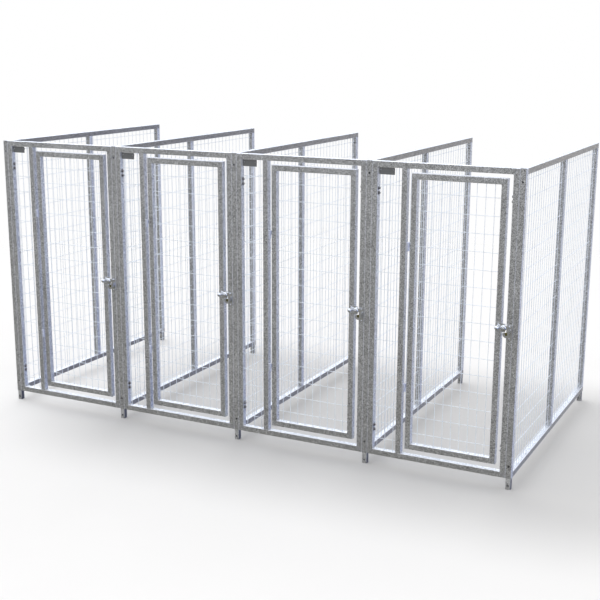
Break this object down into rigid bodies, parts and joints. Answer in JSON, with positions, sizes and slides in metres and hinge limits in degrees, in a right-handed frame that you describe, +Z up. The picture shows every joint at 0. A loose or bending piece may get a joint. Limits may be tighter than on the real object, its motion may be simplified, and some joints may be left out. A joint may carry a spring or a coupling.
{
  "type": "kennel run row",
  "caption": "Row of open-topped kennel runs of galvanised square tube and welded wire mesh, each with a hinged gate and a ball-ended latch.",
  "frame": {"origin": "on the floor, under the centre of the middle side panel's front upright", "axes": "+X along the row, left to right seen from the gates; +Y into the runs, towards the open rear; +Z up"},
  "size_m": [3.591, 1.864, 1.829],
  "materials": {
    "galvanised_tube": "hot-dip galvanised, mottled spangle",
    "galvanised_wire": "galvanised after welding",
    "leg_tube": "galvanised, duller than the frames",
    "zinc_fittings": "zinc plated",
    "dark_zinc": "dull dark zinc",
    "polished_steel": "polished",
    "dark_plate": "satin dark grey, blank"
  },
  "bodies": {
    "runs": {"side_frame_1": "galvanised_tube", "side_mesh_1": "galvanised_wire", "side_frame_2": "galvanised_tube", "side_mesh_2": "galvanised_wire", "side_frame_3": "galvanised_tube", "side_mesh_3": "galvanised_wire", "side_frame_4": "galvanised_tube", "side_mesh_4": "galvanised_wire", "side_frame_5": "galvanised_tube", "side_mesh_5": "galvanised_wire", "front_frame_1": "galvanised_tube", "front_mesh_1": "galvanised_wire", "latch_keeper_1": "polished_steel", "front_frame_2": "galvanised_tube", "front_mesh_2": "galvanised_wire", "latch_keeper_2": "polished_steel", "front_frame_3": "galvanised_tube", "front_mesh_3": "galvanised_wire", "latch_keeper_3": "polished_steel", "front_frame_4": "galvanised_tube", "front_mesh_4": "galvanised_wire", "latch_keeper_4": "polished_steel", "frame_hinge_knuckles": "zinc_fittings", "hinge_pins": "zinc_fittings", "keeper_rivets": "polished_steel", "panel_bolts": "dark_zinc", "bolt_nuts": "dark_zinc", "bolt_washers": "dark_zinc", "legs": "leg_tube", "identity_plates": "dark_plate", "plate_screws": "dark_zinc", "plate_washers": "dark_zinc"},
    "gate_1": {"gate_frame_1": "galvanised_tube", "gate_mesh_1": "galvanised_wire", "gate_hinge_knuckles_1": "zinc_fittings", "latch_plate_1": "polished_steel", "latch_rivets_1": "polished_steel", "latch_pivot_1": "polished_steel"},
    "latch_1": {"latch_lever_1": "polished_steel"},
    "gate_2": {"gate_frame_2": "galvanised_tube", "gate_mesh_2": "galvanised_wire", "gate_hinge_knuckles_2": "zinc_fittings", "latch_plate_2": "polished_steel", "latch_rivets_2": "polished_steel", "latch_pivot_2": "polished_steel"},
    "latch_2": {"latch_lever_2": "polished_steel"},
    "gate_3": {"gate_frame_3": "galvanised_tube", "gate_mesh_3": "galvanised_wire", "gate_hinge_knuckles_3": "zinc_fittings", "latch_plate_3": "polished_steel", "latch_rivets_3": "polished_steel", "latch_pivot_3": "polished_steel"},
    "latch_3": {"latch_lever_3": "polished_steel"},
    "gate_4": {"gate_frame_4": "galvanised_tube", "gate_mesh_4": "galvanised_wire", "gate_hinge_knuckles_4": "zinc_fittings", "latch_plate_4": "polished_steel", "latch_rivets_4": "polished_steel", "latch_pivot_4": "polished_steel"},
    "latch_4": {"latch_lever_4": "polished_steel"}
  },
  "joints": [
    {"name": "gate_1_hinge", "type": "hinge", "parent": "runs", "child": "gate_1", "pos_m": [-1.5335, -0.0205, 0.516], "axis": [0, 0, -1], "range_deg": [0, 170]},
    {"name": "latch_1_pivot", "type": "hinge", "parent": "gate_1", "child": "latch_1", "pos_m": [-0.956, -0.0175, 0.946], "axis": [0, 1, 0], "range_deg": [0, 45]},
    {"name": "gate_2_hinge", "type": "hinge", "parent": "runs", "child": "gate_2", "pos_m": [-0.6445, -0.0205, 0.516], "axis": [0, 0, -1], "range_deg": [0, 170]},
    {"name": "latch_2_pivot", "type": "hinge", "parent": "gate_2", "child": "latch_2", "pos_m": [-0.067, -0.0175, 0.946], "axis": [0, 1, 0], "range_deg": [0, 45]},
    {"name": "gate_3_hinge", "type": "hinge", "parent": "runs", "child": "gate_3", "pos_m": [0.2445, -0.0205, 0.516], "axis": [0, 0, -1], "range_deg": [0, 170]},
    {"name": "latch_3_pivot", "type": "hinge", "parent": "gate_3", "child": "latch_3", "pos_m": [0.822, -0.0175, 0.946], "axis": [0, 1, 0], "range_deg": [0, 45]},
    {"name": "gate_4_hinge", "type": "hinge", "parent": "runs", "child": "gate_4", "pos_m": [1.1335, -0.0205, 0.516], "axis": [0, 0, -1], "range_deg": [0, 170]},
    {"name": "latch_4_pivot", "type": "hinge", "parent": "gate_4", "child": "latch_4", "pos_m": [1.711, -0.0175, 0.946], "axis": [0, 1, 0], "range_deg": [0, 45]}
  ]
}
